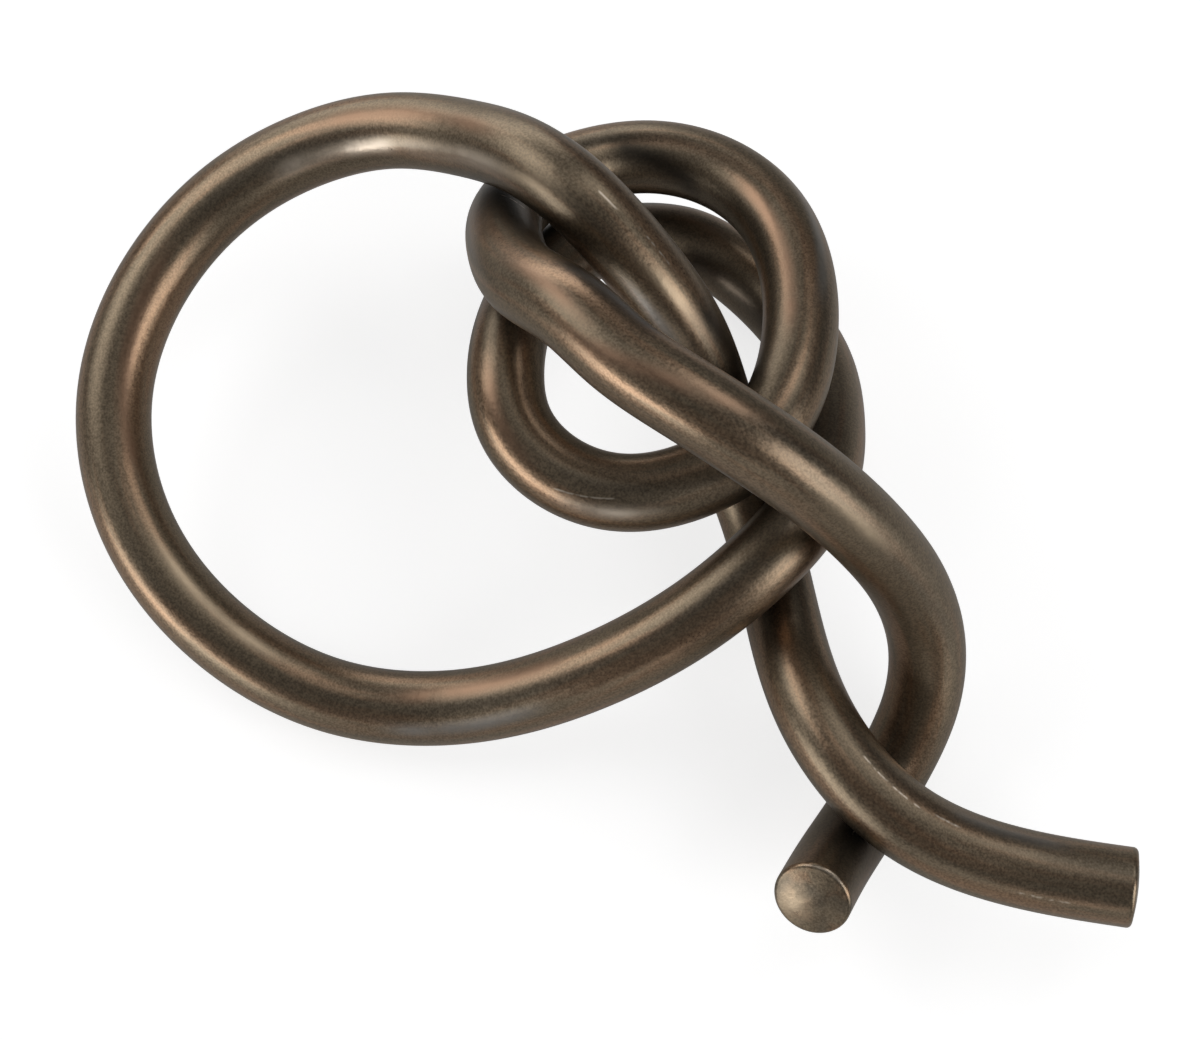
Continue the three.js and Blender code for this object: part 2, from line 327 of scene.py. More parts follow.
class KnotStage(bpy.types.PropertyGroup):
    """The plain pale floor and the soft light."""

    floor_size: FloatProperty(
        name="Floor size", description="Width of the floor",
        default=8.0, min=1.0, max=40.0, unit="LENGTH")
    floor_colour: FloatVectorProperty(
        name="Floor colour", description="Colour of the pale floor",
        default=(0.52, 0.52, 0.52), min=0.0, max=1.0, size=3, subtype="COLOR")
    floor_white: FloatProperty(
        name="Floor white", description="How far the floor is lifted to white for the camera",
        default=0.74, min=0.0, max=1.0, subtype="FACTOR")
    # A pool of light painted on the floor beside the knot, seen only in reflections
    floor_sheen: FloatProperty(
        name="Floor in reflections", description="How white the metal sees the floor beside it",
        default=0.13, min=0.0, max=1.0, subtype="FACTOR")
    room_light: FloatProperty(
        name="Room light", description="Brightness of the room all round",
        default=0.07, min=0.0, max=2.0)


# The rod


def spline_bends(stations, knots):
    """Second derivatives of the natural cubic spline at its stations. At each inner station
    the slopes of the two spans agree, and the rod runs out straight at both ends."""
    widths = np.diff(knots)
    inner = np.arange(1, len(knots) - 1)
    equations = np.eye(len(knots))
    equations[inner, inner - 1] = widths[:-1]
    equations[inner, inner] = 2 * (widths[:-1] + widths[1:])
    equations[inner, inner + 1] = widths[1:]
    slopes = np.diff(stations, axis=0) / widths[:, None]
    wanted = np.zeros_like(stations)
    wanted[inner] = 6 * np.diff(slopes, axis=0)
    return np.linalg.solve(equations, wanted)


def lengths_between(points):
    """Distance along a line of points, from the first one to each of them."""
    steps = np.linalg.norm(np.diff(points, axis=0), axis=1)
    return np.concatenate([[0.0], np.cumsum(steps)])


def unit(vectors):
    """The same directions with a length of one."""
    return vectors / np.linalg.norm(vectors, axis=-1, keepdims=True)


class Rod:
    """The centreline of the whole rod, and two directions across it that don't twist."""

    def __init__(self, sizes):
        pitch = sizes.rod_diameter + sizes.strand_clearance
        self.stations = np.concatenate(list(SECTIONS.values())) * pitch
        self.knots = lengths_between(self.stations)
        self.bends = spline_bends(self.stations, self.knots)
        self.places = np.linspace(0, self.knots[-1], ROUTE_SAMPLES + 1)
        points, tangents = self.curve(self.places)
        self.distances = lengths_between(points)
        self.length = self.distances[-1]
        self.cap = sizes.rim_radius + sizes.rim_land
        self.turns = self.untwisting_turns(tangents)
        self.shift = self.shift_to_frame(sizes.end_gap)
        self.stations = self.stations + self.shift

    def curve(self, places):
        """Points and unit tangents of the cubic spline. In each span the point is the chord's,
        bowed by each end's second derivative times a cubic that is zero at both ends."""
        span = np.clip(np.searchsorted(self.knots, places), 1, len(self.knots) - 1)
        width = (self.knots[span] - self.knots[span - 1])[:, None]
        left = (self.knots[span] - places)[:, None] / width
        right = 1 - left
        first, last = self.stations[span - 1], self.stations[span]
        bend_first, bend_last = self.bends[span - 1], self.bends[span]
        bow = (left ** 3 - left) * bend_first + (right ** 3 - right) * bend_last
        points = left * first + right * last + bow * width ** 2 / 6
        lean = (3 * right ** 2 - 1) * bend_last - (3 * left ** 2 - 1) * bend_first
        return points, unit((last - first) / width + lean * width / 6)

    def upright(self, tangents):
        """The direction across the rod that points most nearly up, and the level one."""
        up = np.array([0.0, 0.0, 1.0])
        raised = unit(up - tangents * tangents[:, 2:3])
        return raised, np.cross(tangents, raised)

    def untwisting_turns(self, tangents):
        """How far the untwisted directions are turned from the upright ones. The turn's rate
        is the rate at which the upright direction swings sideways, with its sign changed."""
        raised, level = self.upright(tangents)
        swing = np.sum(np.gradient(raised, self.distances, axis=0) * level, axis=1)
        steps = (swing[1:] + swing[:-1]) / 2 * np.diff(self.distances)
        return -np.concatenate([[0.0], np.cumsum(steps)])

    def rings(self, distances):
        """Centre, tangent and two untwisted directions across the rod at each distance."""
        centres, tangents = self.curve(np.interp(distances, self.distances, self.places))
        raised, level = self.upright(tangents)
        turn = np.interp(distances, self.distances, self.turns)[:, None]
        first = np.cos(turn) * raised + np.sin(turn) * level
        return centres, tangents, first, np.cross(tangents, first)

    def shift_to_frame(self, end_gap):
        """The move that brings the outer face of plug A to where the solid plug has it."""
        centres, tangents = self.rings(np.array([self.cap + end_gap]))[:2]
        face = centres[0] - tangents[0] * (self.cap + end_gap)
        mounts = {mount["name"]: mount for mount in frame["record"]["mounts"]}
        return np.array(mounts["end_face_a"]["pos_m"]) - face

    def joints(self):
        """Distances along the rod where one section ends and the next starts."""
        counts = np.cumsum([len(stations) for stations in SECTIONS.values()])[:-1]
        return np.interp(self.knots[counts], self.places, self.distances)


def sweep(first, second, radii, angles):
    """Directions and points round a centre: the cosine of each angle along the first
    direction and its sine along the second, times the radius."""
    cosines = np.cos(angles)[None, :, None]
    sines = np.sin(angles)[None, :, None]
    around = cosines * first[:, None] + sines * second[:, None]
    return around * radii[:, None, None]


def ring_angles(sides):
    """Evenly spaced angles once round, one for each side."""
    return np.arange(sides) * 2 * np.pi / sides


def rod_places(radii, distances, angles):
    """Where each point is on the straightened rod: two offsets across it and the distance."""
    across = radii[:, None] * np.cos(angles)
    aside = radii[:, None] * np.sin(angles)
    along = np.broadcast_to(distances[:, None], across.shape)
    return np.stack([across, aside, along], axis=-1)


def wrapped_quads(rows, sides, closed):
    """Four-sided faces between neighbouring rows. The columns close round, and so do the
    rows where the profile is closed."""
    row = np.arange(rows if closed else rows - 1)[:, None]
    column = np.arange(sides)[None, :]
    after = (column + 1) % sides
    above = (row + 1) % rows
    corners = [
        row * sides + column, row * sides + after,
        above * sides + after, above * sides + column,
    ]
    return np.stack(corners, axis=-1).reshape(-1, 4)


def new_piece(name, points, places, quads, masks):
    """A smooth mesh object, with its place on the rod and its masks kept as attributes."""
    mesh = bpy.data.meshes.new(name)
    mesh.vertices.add(points.size // 3)
    mesh.vertices.foreach_set("co", points.ravel())
    mesh.loops.add(quads.size)
    mesh.loops.foreach_set("vertex_index", quads.ravel())
    mesh.polygons.add(len(quads))
    mesh.polygons.foreach_set("loop_start", np.arange(0, quads.size, 4))
    mesh.update(calc_edges=True)
    place = mesh.attributes.new("rod_place", "FLOAT_VECTOR", "POINT")
    place.data.foreach_set("vector", places.ravel())
    for title, values in masks.items():
        mask = mesh.attributes.new(title, "FLOAT", "POINT")
        mask.data.foreach_set("value", values.ravel())
    merge_doubles(mesh)
    mesh.shade_smooth()
    mesh.set_sharp_from_angle(angle=SHARP_TURN)
    if mesh.validate():
        raise RuntimeError(f"{name} has faces that are not valid")
    piece = bpy.data.objects.new(name, mesh)
    bpy.context.scene.collection.objects.link(piece)
    return piece


def merge_doubles(mesh):
    """Closes the poles, where all the points of a ring fall together, and other doubles."""
    work = bmesh.new()
    work.from_mesh(mesh)
    bmesh.ops.remove_doubles(work, verts=work.verts, dist=MERGE_DISTANCE)
    work.to_mesh(mesh)
    work.free()


def nested_shade_mask(rod, points, distances, sizes):
    """How much shade is painted on the patina, from 0 in the open to 1 where another strand
    touches. It falls with the square of one less the share of the reach that is air. The squared
    distance to each place on the route is the sum of both squares less twice the product."""
    places = np.linspace(0, rod.length, OTHER_PLACES)
    centres = rod.rings(places)[0]
    flat = points.reshape(-1, 3)
    squares = np.sum(flat ** 2, axis=1)[:, None] + np.sum(centres ** 2, axis=1)
    squares -= 2 * flat @ centres.T
    along = np.repeat(distances, sizes.sides)
    own = np.abs(along[:, None] - places) < OWN_STRAND
    air = np.sqrt(np.where(own, np.inf, squares).min(axis=1)) - sizes.rod_diameter / 2
    return np.clip(1 - air / NESTED_SHADE_REACH, 0, 1) ** 2


def tube_section(name, rod, start, end, sizes):
    """A hollow tube between two distances along the rod. One closed profile runs out along
    the outside and back along the bore, and a circle is carried along it."""
    outside = np.linspace(start, end, 1 + round((end - start) / sizes.ring_spacing))
    bore = np.linspace(end, start, 1 + round((end - start) / sizes.bore_spacing))
    distances = np.concatenate([outside, bore])
    radius = sizes.rod_diameter / 2
    radii = np.where(np.arange(len(distances)) < len(outside), radius, radius - sizes.tube_wall)
    centres, _, first, second = rod.rings(distances)
    angles = ring_angles(sizes.sides)
    points = centres[:, None] + sweep(first, second, radii, angles)
    places = rod_places(radii, distances, angles)
    quads = wrapped_quads(len(distances), sizes.sides, True)
    masks = {"painted_shade": nested_shade_mask(rod, points, distances, sizes)}
    return new_piece(name, points, places, quads, masks)


def plug_profile(sizes):
    """Radius, height over the back of the cap, and lean of the turned plug: a crowned face that
    falls with the square of the radius, a quarter round rim, the cap's side and the spigot. The
    lean is the angle between the surface's normal and the plug's axis."""
    radius = sizes.rod_diameter / 2
    cap = sizes.rim_radius + sizes.rim_land
    spigot = radius - sizes.tube_wall - sizes.fit_clearance
    face = radius - sizes.rim_radius
    share = np.linspace(0, 1, CROWN_STEPS + 1)
    crown = np.stack([share * face, cap - sizes.face_crown * share ** 2, 0 * share], axis=1)
    turn = np.linspace(0, np.pi / 2, RIM_STEPS + 1)[1:]
    rim = np.stack([
        face + sizes.rim_radius * np.sin(turn),
        cap - sizes.face_crown - sizes.rim_radius * (1 - np.cos(turn)),
        turn,
    ], axis=1)
    stem = np.array([
        (radius, 0, 0),
        (spigot, 0, 0),
        (spigot, sizes.spigot_chamfer - sizes.spigot_length, 0),
        (spigot - sizes.spigot_chamfer, -sizes.spigot_length, 0),
        (0, -sizes.spigot_length, 0),
    ])
    return np.concatenate([crown, rim, stem])


def end_plug(name, rod, at_start, rim_brightening, sizes):
    """The plug's profile turned round the rod's end. It sits square on the end of the tube, and
    its heights run outwards along the straight end of the rod. The middle of the rim is made
    bright where it faces up: rubbed metal and a painted highlight."""
    radii, heights, leans = plug_profile(sizes).T
    seat = rod.cap if at_start else rod.length - rod.cap
    outward = -1 if at_start else 1
    centres, tangents, first, second = rod.rings(np.array([seat]))
    along = centres + outward * tangents * heights[:, None]
    angles = ring_angles(sizes.sides)
    points = along[:, None] + sweep(first, second, radii, angles)
    places = rod_places(radii, seat + outward * heights, angles)
    quads = wrapped_quads(len(radii), sizes.sides, False)
    if not at_start:
        quads = quads[:, ::-1]
    radial = sweep(first, second, np.ones(1), angles)[..., 2]
    facing = np.cos(leans)[:, None] * outward * tangents[0, 2] + np.sin(leans)[:, None] * radial
    upward = np.clip((facing - RIM_HIGHLIGHT_STARTS) / (1 - RIM_HIGHLIGHT_STARTS), 0, 1)
    masks = {"rim_rubbed_and_highlit": rim_brightening * np.sin(2 * leans)[:, None] * upward}
    return new_piece(name, points, places, quads, masks)


# Materials


def feed(tree, socket, value):
    """Puts a number or colour on a socket, or links another node's output to it."""
    if isinstance(value, bpy.types.NodeSocket):
        tree.links.new(value, socket)
    else:
        socket.default_value = value


def opaque(colour):
    """The colour with the full alpha that a colour socket needs."""
    return (*colour, 1)


def calculate(tree, operation, *values):
    """A Math node. Gives back its result."""
    node = tree.nodes.new("ShaderNodeMath")
    node.operation = operation
    for socket, value in zip(node.inputs, values):
        feed(tree, socket, value)
    return node.outputs[0]


def ramp(tree, value, low, high, to_low=0.0, to_high=1.0):
    """Turns a value between low and high smoothly into one between two others."""
    node = tree.nodes.new("ShaderNodeMapRange")
    node.interpolation_type = "SMOOTHSTEP"
    for socket, number in zip(node.inputs, (value, low, high, to_low, to_high)):
        feed(tree, socket, number)
    return node.outputs[0]


def mix_colours(tree, share, first, second, blend="MIX"):
    """Mixes the second colour into the first."""
    node = tree.nodes.new("ShaderNodeMix")
    node.data_type = "RGBA"
    node.blend_type = blend
    feed(tree, node.inputs[0], share)
    feed(tree, node.inputs[6], first)
    feed(tree, node.inputs[7], second)
    return node.outputs[2]


def noise(tree, vector, scale, detail, offset=0.0):
    """Soft noise between 0 and 1. The offset moves it to another part of its pattern."""
    node = tree.nodes.new("ShaderNodeTexNoise")
    node.noise_dimensions = "4D"
    feed(tree, node.inputs["Vector"], vector)
    feed(tree, node.inputs["Scale"], scale)
    feed(tree, node.inputs["Detail"], detail)
    feed(tree, node.inputs["W"], offset)
    return node.outputs[0]


def piece_attribute(tree, name):
    """Reads one of the piece's own attributes. Gives back the outputs, for vectors and values."""
    node = tree.nodes.new("ShaderNodeAttribute")
    node.attribute_name = name
    return node.outputs


def new_metal(name, metallic):
    """A new material with a metallic shader. Gives back the material, its tree and the shader."""
    material = bpy.data.materials.new(name)
    material.use_nodes = True
    shader = material.node_tree.nodes["Principled BSDF"]
    shader.inputs["Metallic"].default_value = metallic
    return material, material.node_tree, shader


def dress_metal(tree, shader, colour, patina):
    """Puts the colour on the shader, with the patina's roughness and relief."""
    feed(tree, shader.inputs["Base Color"], colour)
    feed(tree, shader.inputs["Roughness"], patina["Roughness"])
    bump = tree.nodes.new("ShaderNodeBump")
    bump.inputs["Distance"].default_value = RELIEF
    feed(tree, bump.inputs["Height"], patina["Height"])
    feed(tree, shader.inputs["Normal"], bump.outputs["Normal"])


def new_group(name, inputs, outputs):
    """An empty shader group with named sockets. Gives back the group, its inputs and its end."""
    kinds = {"value": "NodeSocketFloat", "vector": "NodeSocketVector", "colour": "NodeSocketColor"}
    group = bpy.data.node_groups.new(name, "ShaderNodeTree")
    for direction, sockets in (("INPUT", inputs), ("OUTPUT", outputs)):
        for socket, kind in sockets.items():
            group.interface.new_socket(name=socket, in_out=direction, socket_type=kinds[kind])
    start = group.nodes.new("NodeGroupInput")
    end = group.nodes.new("NodeGroupOutput")
    return group, start.outputs, end.inputs


def use_group(tree, group, **values):
    """Places a group in a material, with its inputs named as keywords. Gives back its outputs."""
    node = tree.nodes.new("ShaderNodeGroup")
    node.node_tree = group
    for name, value in values.items():
        feed(tree, node.inputs[name.replace("_", " ")], value)
    return node.outputs


def patina_group():
    """Clouds and streaks of patina drawn out along the rod, over fine grain. The pattern is
    noise on the place, divided by the streak's width across and by its length along."""
    name = "Worn patina"
    if name in bpy.data.node_groups:
        return bpy.data.node_groups[name]
    group, start, end = new_group(name, {
        "Place": "vector", "Body": "colour", "Streak": "colour", "Cloud": "colour",
        "Streak width": "value", "Streak length": "value", "Grain size": "value",
        "Gloss": "value",
    }, {"Colour": "colour", "Roughness": "value", "Height": "value"})
    split = group.nodes.new("ShaderNodeSeparateXYZ")
    feed(group, split.inputs[0], start["Place"])
    drawn = group.nodes.new("ShaderNodeCombineXYZ")
    for index, size in enumerate(("Streak width", "Streak width", "Streak length")):
        share = calculate(group, "DIVIDE", split.outputs[index], start[size])
        feed(group, drawn.inputs[index], share)
    streaks = noise(group, drawn.outputs[0], scale=1.0, detail=3.0)
    clouds = noise(group, drawn.outputs[0], scale=0.45, detail=2.0, offset=7.0)
    fine = calculate(group, "DIVIDE", 1.0, start["Grain size"])
    grain = noise(group, start["Place"], scale=fine, detail=2.0, offset=3.0)
    colour = mix_colours(group, ramp(group, streaks, 0.42, 0.68), start["Body"], start["Streak"])
    colour = mix_colours(group, ramp(group, clouds, 0.45, 0.72), colour, start["Cloud"])
    speck = ramp(group, grain, 0.25, 0.75, to_low=0.72, to_high=1.28)
    shade = group.nodes.new("ShaderNodeCombineColor")
    for socket in shade.inputs:
        feed(group, socket, speck)
    feed(group, end["Colour"], mix_colours(group, 1.0, colour, shade.outputs[0], "MULTIPLY"))
    rough = ramp(group, streaks, 0.3, 0.7, to_low=0.05, to_high=-0.05)
    gritty = ramp(group, grain, 0.3, 0.7, to_low=-0.03, to_high=0.03)
    rough = calculate(group, "ADD", rough, gritty)
    feed(group, end["Roughness"], calculate(group, "ADD", rough, start["Gloss"]))
    coarse = calculate(group, "MULTIPLY", fine, 0.22)
    hammered = noise(group, start["Place"], scale=coarse, detail=1.0, offset=9.0)
    feed(group, end["Height"], calculate(group, "MULTIPLY_ADD", hammered, 2.5, grain))
    return group


def stripe_group():
    """A stripe along the rod between two distances, fading out at both ends and to both sides.
    The place is turned back by the stripe's angle, so its second offset is the distance from
    the middle of the stripe."""
    name = "Stripe"
    if name in bpy.data.node_groups:
        return bpy.data.node_groups[name]
    group, start, end = new_group(name, {
        "Place": "vector", "Start": "value", "End": "value", "Angle": "value", "Twist": "value",
        "Width": "value", "Fade": "value",
    }, {"Mask": "value"})
    split = group.nodes.new("ShaderNodeSeparateXYZ")
    feed(group, split.inputs[0], start["Place"])
    across, aside, along = split.outputs
    passed = calculate(group, "SUBTRACT", along, start["Start"])
    angle = calculate(group, "MULTIPLY_ADD", passed, start["Twist"], start["Angle"])
    cosine = calculate(group, "COSINE", angle)
    sine = calculate(group, "SINE", angle)
    off = calculate(group, "SUBTRACT", calculate(group, "MULTIPLY", aside, cosine),
                    calculate(group, "MULTIPLY", across, sine))
    front = calculate(group, "MULTIPLY", across, cosine)
    front = calculate(group, "MULTIPLY_ADD", aside, sine, front)
    thin = ramp(group, calculate(group, "ABSOLUTE", off), start["Width"], 0.0)
    after = ramp(group, passed, 0.0, start["Fade"])
    before = ramp(group, calculate(group, "SUBTRACT", start["End"], along), 0.0, start["Fade"])
    mask = calculate(group, "MULTIPLY", thin, calculate(group, "GREATER_THAN", front, 0.0))
    ends = calculate(group, "MULTIPLY", after, before)
    feed(group, end["Mask"], calculate(group, "MULTIPLY", mask, ends))
    return group


def stripes(tree, place, lines, fade):
    """The masks of a set of stripes, joined."""
    joined = 0.0
    for start, end, angle, twist, width in lines.values():
        line = use_group(tree, stripe_group(), Place=place, Start=start, End=end, Fade=fade,
                         Angle=math.radians(angle), Twist=math.radians(twist), Width=width)
        joined = calculate(tree, "MAXIMUM", line["Mask"], joined)
    return joined


def tube_material(finish):
    """Brown patina with copper streaks, on a satin metal. It is worn in bands that also carry
    painted highlights, has bands of painted highlight and of painted grey reflection, thin dashed
    lines of rubbed metal and painted glints, and painted shade in dark bands and where strands
    nest."""
    material, tree, shader = new_metal("Tube patina", PATINA_METALLIC)
    place = piece_attribute(tree, "rod_place")["Vector"]
    patina = use_group(
        tree, patina_group(), Place=place, Body=opaque(finish.bronze),
        Streak=opaque(finish.copper), Cloud=opaque(finish.umber),
        Streak_width=0.005, Streak_length=0.07, Grain_size=0.0007, Gloss=0.35)
    colour = patina["Colour"]
    uneven = noise(tree, place, scale=50.0, detail=2.0, offset=5.0)
    uneven = ramp(tree, uneven, 0.3, 0.6, to_low=0.4, to_high=0.85)
    # Copper and beige bands are worn patina with painted highlights; bright bands are painted
    # highlights, grey bands painted reflections
    for bands, tint in ((COPPER_BANDS, finish.warm_band), (BEIGE_BANDS, finish.pale_band),
                        (HIGHLIGHT_BANDS, finish.rubbed), (REFLECTION_BANDS, finish.cool_band)):
        band = calculate(tree, "MULTIPLY", stripes(tree, place, bands, BAND_FADE), uneven)
        colour = mix_colours(tree, band, colour, opaque(tint))
    # Painted shade where strands nest and in the dark bands
    nested = piece_attribute(tree, "painted_shade")["Fac"]
    dark = calculate(tree, "MULTIPLY", stripes(tree, place, SHADE_BANDS, SHADE_FADE), SHADE_SHARE)
    dark = calculate(tree, "MAXIMUM", nested, dark)
    colour = mix_colours(tree, dark, colour, opaque(finish.painted_shade))
    # Thin dashed lines of rubbed metal, with painted glints among them
    dashes = ramp(tree, noise(tree, place, scale=420.0, detail=1.0, offset=5.0), 0.4, 0.58)
    worn = calculate(tree, "MULTIPLY", stripes(tree, place, RUBBED_LINES_AND_GLINTS, LINE_FADE), dashes)
    colour = mix_colours(tree, worn, colour, opaque(finish.rubbed))
    dress_metal(tree, shader, colour, patina)
    return material


def face_highlight(tree, place):
    """The highlight painted on a plug's face, which fades from its middle to its radius. The place
    along the rod is left out, so that only the two offsets across it count."""
    flat = tree.nodes.new("ShaderNodeVectorMath")
    flat.operation = "MULTIPLY"
    feed(tree, flat.inputs[0], place)
    feed(tree, flat.inputs[1], (1, 1, 0))
    away = tree.nodes.new("ShaderNodeVectorMath")
    away.operation = "DISTANCE"
    feed(tree, away.inputs[0], flat.outputs["Vector"])
    feed(tree, away.inputs[1], FACE_HIGHLIGHT)
    return ramp(tree, away.outputs["Value"], FACE_HIGHLIGHT_RADIUS, 0.0)


def plug_material(finish):
    """The same patina, in blotches in place of streaks, rubbed bright on the rim with a painted
    highlight where it faces up, and with a painted highlight on one side of the face."""
    material, tree, shader = new_metal("Plug patina", PATINA_METALLIC)
    place = piece_attribute(tree, "rod_place")["Vector"]
    patina = use_group(
        tree, patina_group(), Place=place, Body=opaque(finish.bronze),
        Streak=opaque(finish.copper), Cloud=opaque(finish.umber),
        Streak_width=0.006, Streak_length=0.006, Grain_size=0.0007, Gloss=0.34)
    patchy = noise(tree, place, scale=260.0, detail=3.0, offset=11.0)
    face_highlit = ramp(tree, patchy, 0.3, 0.6, to_low=0.6, to_high=1.0)
    face_highlit = calculate(tree, "MULTIPLY", face_highlight(tree, place), face_highlit)
    colour = mix_colours(tree, face_highlit, patina["Colour"], opaque(finish.pale_band))
    # Rubbed metal and a painted highlight on the rim where it faces up
    worn = ramp(tree, patchy, 0.35, 0.6, to_low=0.2, to_high=0.7)
    worn = calculate(tree, "MULTIPLY", piece_attribute(tree, "rim_rubbed_and_highlit")["Fac"], worn)
    colour = mix_colours(tree, worn, colour, opaque(finish.rubbed))
    dress_metal(tree, shader, colour, patina)
    return material


def sleeve_material(finish):
    """Bare drawn tube, with fine grain and a little tarnish."""
    material, tree, shader = new_metal("Sleeve metal", 1.0)
    place = tree.nodes.new("ShaderNodeTexCoord")
    tarnish = use_group(
        tree, patina_group(), Place=place.outputs["Object"], Body=opaque(finish.sleeve),
        Streak=opaque(finish.rubbed), Cloud=opaque(finish.copper),
        Streak_width=0.004, Streak_length=0.004, Grain_size=0.0006, Gloss=0.42)
    dress_metal(tree, shader, tarnish["Colour"], tarnish)
    return material


# Stage


def floor_material(stage):
    """A pale floor that the camera sees as white, with the knot's shadow left on it. Far from the
    lamps it needs the most lift. Metal sees it paler too, most of all beside the knot: a pool of
    light painted on the floor that shows only in reflections."""
    material = bpy.data.materials.new("Pale floor")
    material.use_nodes = True
    material.cycles.emission_sampling = "NONE"
    tree = material.node_tree
    tree.nodes.remove(tree.nodes["Principled BSDF"])
    paper = tree.nodes.new("ShaderNodeBsdfDiffuse")
    paper.inputs["Color"].default_value = opaque(stage.floor_colour)
    ray = tree.nodes.new("ShaderNodeLightPath")
    place = tree.nodes.new("ShaderNodeTexCoord")
    spread = tree.nodes.new("ShaderNodeVectorMath")
    spread.operation = "LENGTH"
    feed(tree, spread.inputs[0], place.outputs["Object"])
    spread = spread.outputs["Value"]
    near = ramp(tree, spread, *SHEEN_REACH, to_low=stage.floor_sheen, to_high=0.0)
    white = ramp(tree, spread, *WHITE_REACH, to_low=stage.floor_white, to_high=1.0)
    seen = calculate(tree, "MULTIPLY", ray.outputs["Is Camera Ray"], white)
    # The painted pool of light beside the knot, seen only by glossy rays
    mirrored = calculate(tree, "MULTIPLY", ray.outputs["Is Glossy Ray"], near)
    lift = tree.nodes.new("ShaderNodeEmission")
    feed(tree, lift.inputs["Strength"], calculate(tree, "ADD", seen, mirrored))
    both = tree.nodes.new("ShaderNodeAddShader")
    feed(tree, both.inputs[0], paper.outputs[0])
    feed(tree, both.inputs[1], lift.outputs[0])
    output = tree.nodes["Material Output"]
    feed(tree, output.inputs["Surface"], both.outputs[0])
    return material


def add_floor(stage):
    """A square floor at the height that the knot rests on."""
    half = stage.floor_size / 2
    corners = [(-half, -half, 0), (half, -half, 0), (half, half, 0), (-half, half, 0)]
    mesh = bpy.data.meshes.new("floor")
    mesh.from_pydata(corners, [], [(0, 1, 2, 3)])
    mesh.materials.append(floor_material(stage))
    floor = bpy.data.objects.new("floor", mesh)
    bpy.context.scene.collection.objects.link(floor)
    floor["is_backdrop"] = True


def add_room(stage):
    """An even dim room that the camera sees as white."""
    world = bpy.data.worlds.new("Room")
    world.use_nodes = True
    bpy.context.scene.world = world
    tree = world.node_tree
    background = tree.nodes["Background"]
    background.inputs["Color"].default_value = (1, 1, 1, 1)
    ray = tree.nodes.new("ShaderNodeLightPath")
    bright = ramp(tree, ray.outputs["Is Camera Ray"], 0.0, 1.0, stage.room_light, 1.0)
    feed(tree, background.inputs["Strength"], bright)


def add_lamp(name, azimuth, elevation, width, height, brightness, target):
    """A soft square lamp that faces the knot. Its power is pi times brightness times area."""
    across = math.radians(azimuth)
    rise = math.radians(elevation)
    level = math.cos(rise)
    toward = Vector((math.sin(across) * level, math.cos(across) * level, math.sin(rise)))
    light = bpy.data.lights.new(name, "AREA")
    light.shape = "RECTANGLE"
    light.size = 2 * LAMP_DISTANCE * math.tan(math.radians(width / 2))
    light.size_y = 2 * LAMP_DISTANCE * math.tan(math.radians(height / 2))
    light.energy = math.pi * brightness * light.size * light.size_y
    lamp = bpy.data.objects.new(name, light)
    lamp.visible_camera = False
    turn = toward.to_track_quat("Z", "Y").to_matrix().to_4x4()
    lamp.matrix_world = Matrix.Translation(target + LAMP_DISTANCE * toward) @ turn
    bpy.context.scene.collection.objects.link(lamp)


def add_camera(target):
    """The photograph's view: from the front and steeply above."""
    data = bpy.data.cameras.new("camera")
    data.lens = VIEW_LENS
    data.sensor_width = SENSOR_WIDTH
    data.sensor_fit = "HORIZONTAL"
    data.clip_start = 0.01
    camera = bpy.data.objects.new("camera", data)
    back = Vector((0, -math.cos(VIEW_ELEVATION), math.sin(VIEW_ELEVATION)))
    camera.location = target + VIEW_DISTANCE * back
    camera.rotation_euler = (math.pi / 2 - VIEW_ELEVATION, 0, 0)
    bpy.context.scene.collection.objects.link(camera)
    bpy.context.scene.camera = camera


# Operators


class KNOT_OT_tube_sections(bpy.types.Operator):
    """Build the seven bent tube sections"""

    bl_idname = "knot.tube_sections"
    bl_label = "Tube sections"

    def execute(self, context):
        sizes = context.scene.knot_sizes
        rod = Rod(sizes)
        material = tube_material(context.scene.knot_finish)
        edges = [rod.cap, *rod.joints(), rod.length - rod.cap]
        for index, node in enumerate(SECTIONS):
            piece = tube_section(node + "_rod", rod, edges[index], edges[index + 1], sizes)
            piece.data.materials.append(material)
            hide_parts(node)
            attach(piece, "root")
        return {"FINISHED"}


class KNOT_OT_end_plugs(bpy.types.Operator):
    """Build the two turned plugs that close the ends of the rod"""

    bl_idname = "knot.end_plugs"
    bl_label = "End plugs"

    def execute(self, context):
        sizes = context.scene.knot_sizes
        rod = Rod(sizes)
        material = plug_material(context.scene.knot_finish)
        for node, (at_start, rim_brightening) in PLUGS.items():
            piece = end_plug(node + "_turned", rod, at_start, rim_brightening, sizes)
            piece.data.materials.append(material)
            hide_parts(node)
            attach(piece, "root")
        return {"FINISHED"}


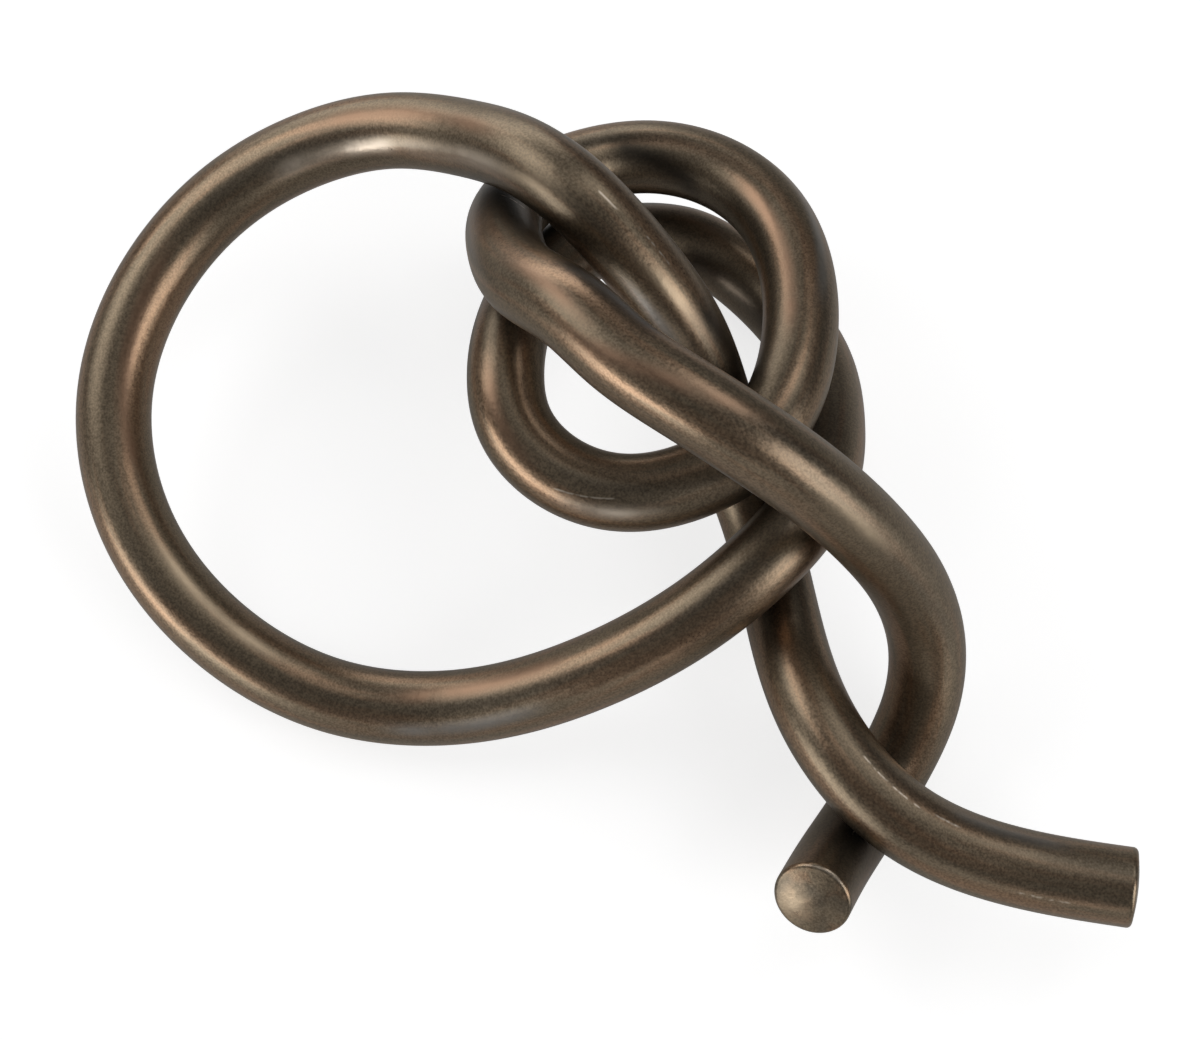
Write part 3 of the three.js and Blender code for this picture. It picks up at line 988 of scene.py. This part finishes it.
class KNOT_OT_sleeves(bpy.types.Operator):
    """Give the joint sleeves inside the tube their bare metal"""

    bl_idname = "knot.sleeves"
    bl_label = "Joint sleeves"

    def execute(self, context):
        material = sleeve_material(context.scene.knot_finish)
        for node in SLEEVES:
            frame["nodes"][node].material_slots[0].material = material
        return {"FINISHED"}


class KNOT_OT_stage(bpy.types.Operator):
    """Set up the floor, the room, the soft lamps and the camera"""

    bl_idname = "knot.stage"
    bl_label = "Stage"

    def execute(self, context):
        stage = context.scene.knot_stage
        rod = Rod(context.scene.knot_sizes)
        target = Vector(rod.shift) + Vector((0, 0, VIEW_HEIGHT))
        add_floor(stage)
        add_room(stage)
        for name, (azimuth, elevation, width, height, brightness) in LAMPS.items():
            add_lamp(name, azimuth, elevation, width, height, brightness, target)
        add_camera(target)
        context.scene.view_settings.view_transform = "Standard"
        return {"FINISHED"}


class KNOT_PT_panel(bpy.types.Panel):
    """Lists the pieces of the knot and the stage"""

    bl_idname = "KNOT_PT_panel"
    bl_label = "Knot Sculpture"
    bl_space_type = "VIEW_3D"
    bl_region_type = "UI"
    bl_category = "Knot"

    def draw(self, context):
        for settings in ("knot_sizes", "knot_finish", "knot_stage"):
            group = getattr(context.scene, settings)
            column = self.layout.column()
            for name in group.__annotations__:
                column.prop(group, name)
        for operator in OPERATORS:
            self.layout.operator(operator.bl_idname)


SETTINGS = {"knot_sizes": KnotSizes, "knot_finish": KnotFinish, "knot_stage": KnotStage}
OPERATORS = (KNOT_OT_tube_sections, KNOT_OT_end_plugs, KNOT_OT_sleeves, KNOT_OT_stage)


def register():
    for kind in (*SETTINGS.values(), *OPERATORS, KNOT_PT_panel):
        bpy.utils.register_class(kind)
    for name, kind in SETTINGS.items():
        setattr(bpy.types.Scene, name, PointerProperty(type=kind))


def unregister():
    for name in SETTINGS:
        delattr(bpy.types.Scene, name)
    for kind in reversed((*SETTINGS.values(), *OPERATORS, KNOT_PT_panel)):
        bpy.utils.unregister_class(kind)


def main():
    register()
    bpy.ops.knot.tube_sections()
    bpy.ops.knot.end_plugs()
    bpy.ops.knot.sleeves()
    bpy.ops.knot.stage()
    boxes = {"solids": SOLID_BOX, "shown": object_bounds()}
    boxes = {name: [list(corner) for corner in box] for name, box in boxes.items()}


if __name__ == "__main__":
    main()
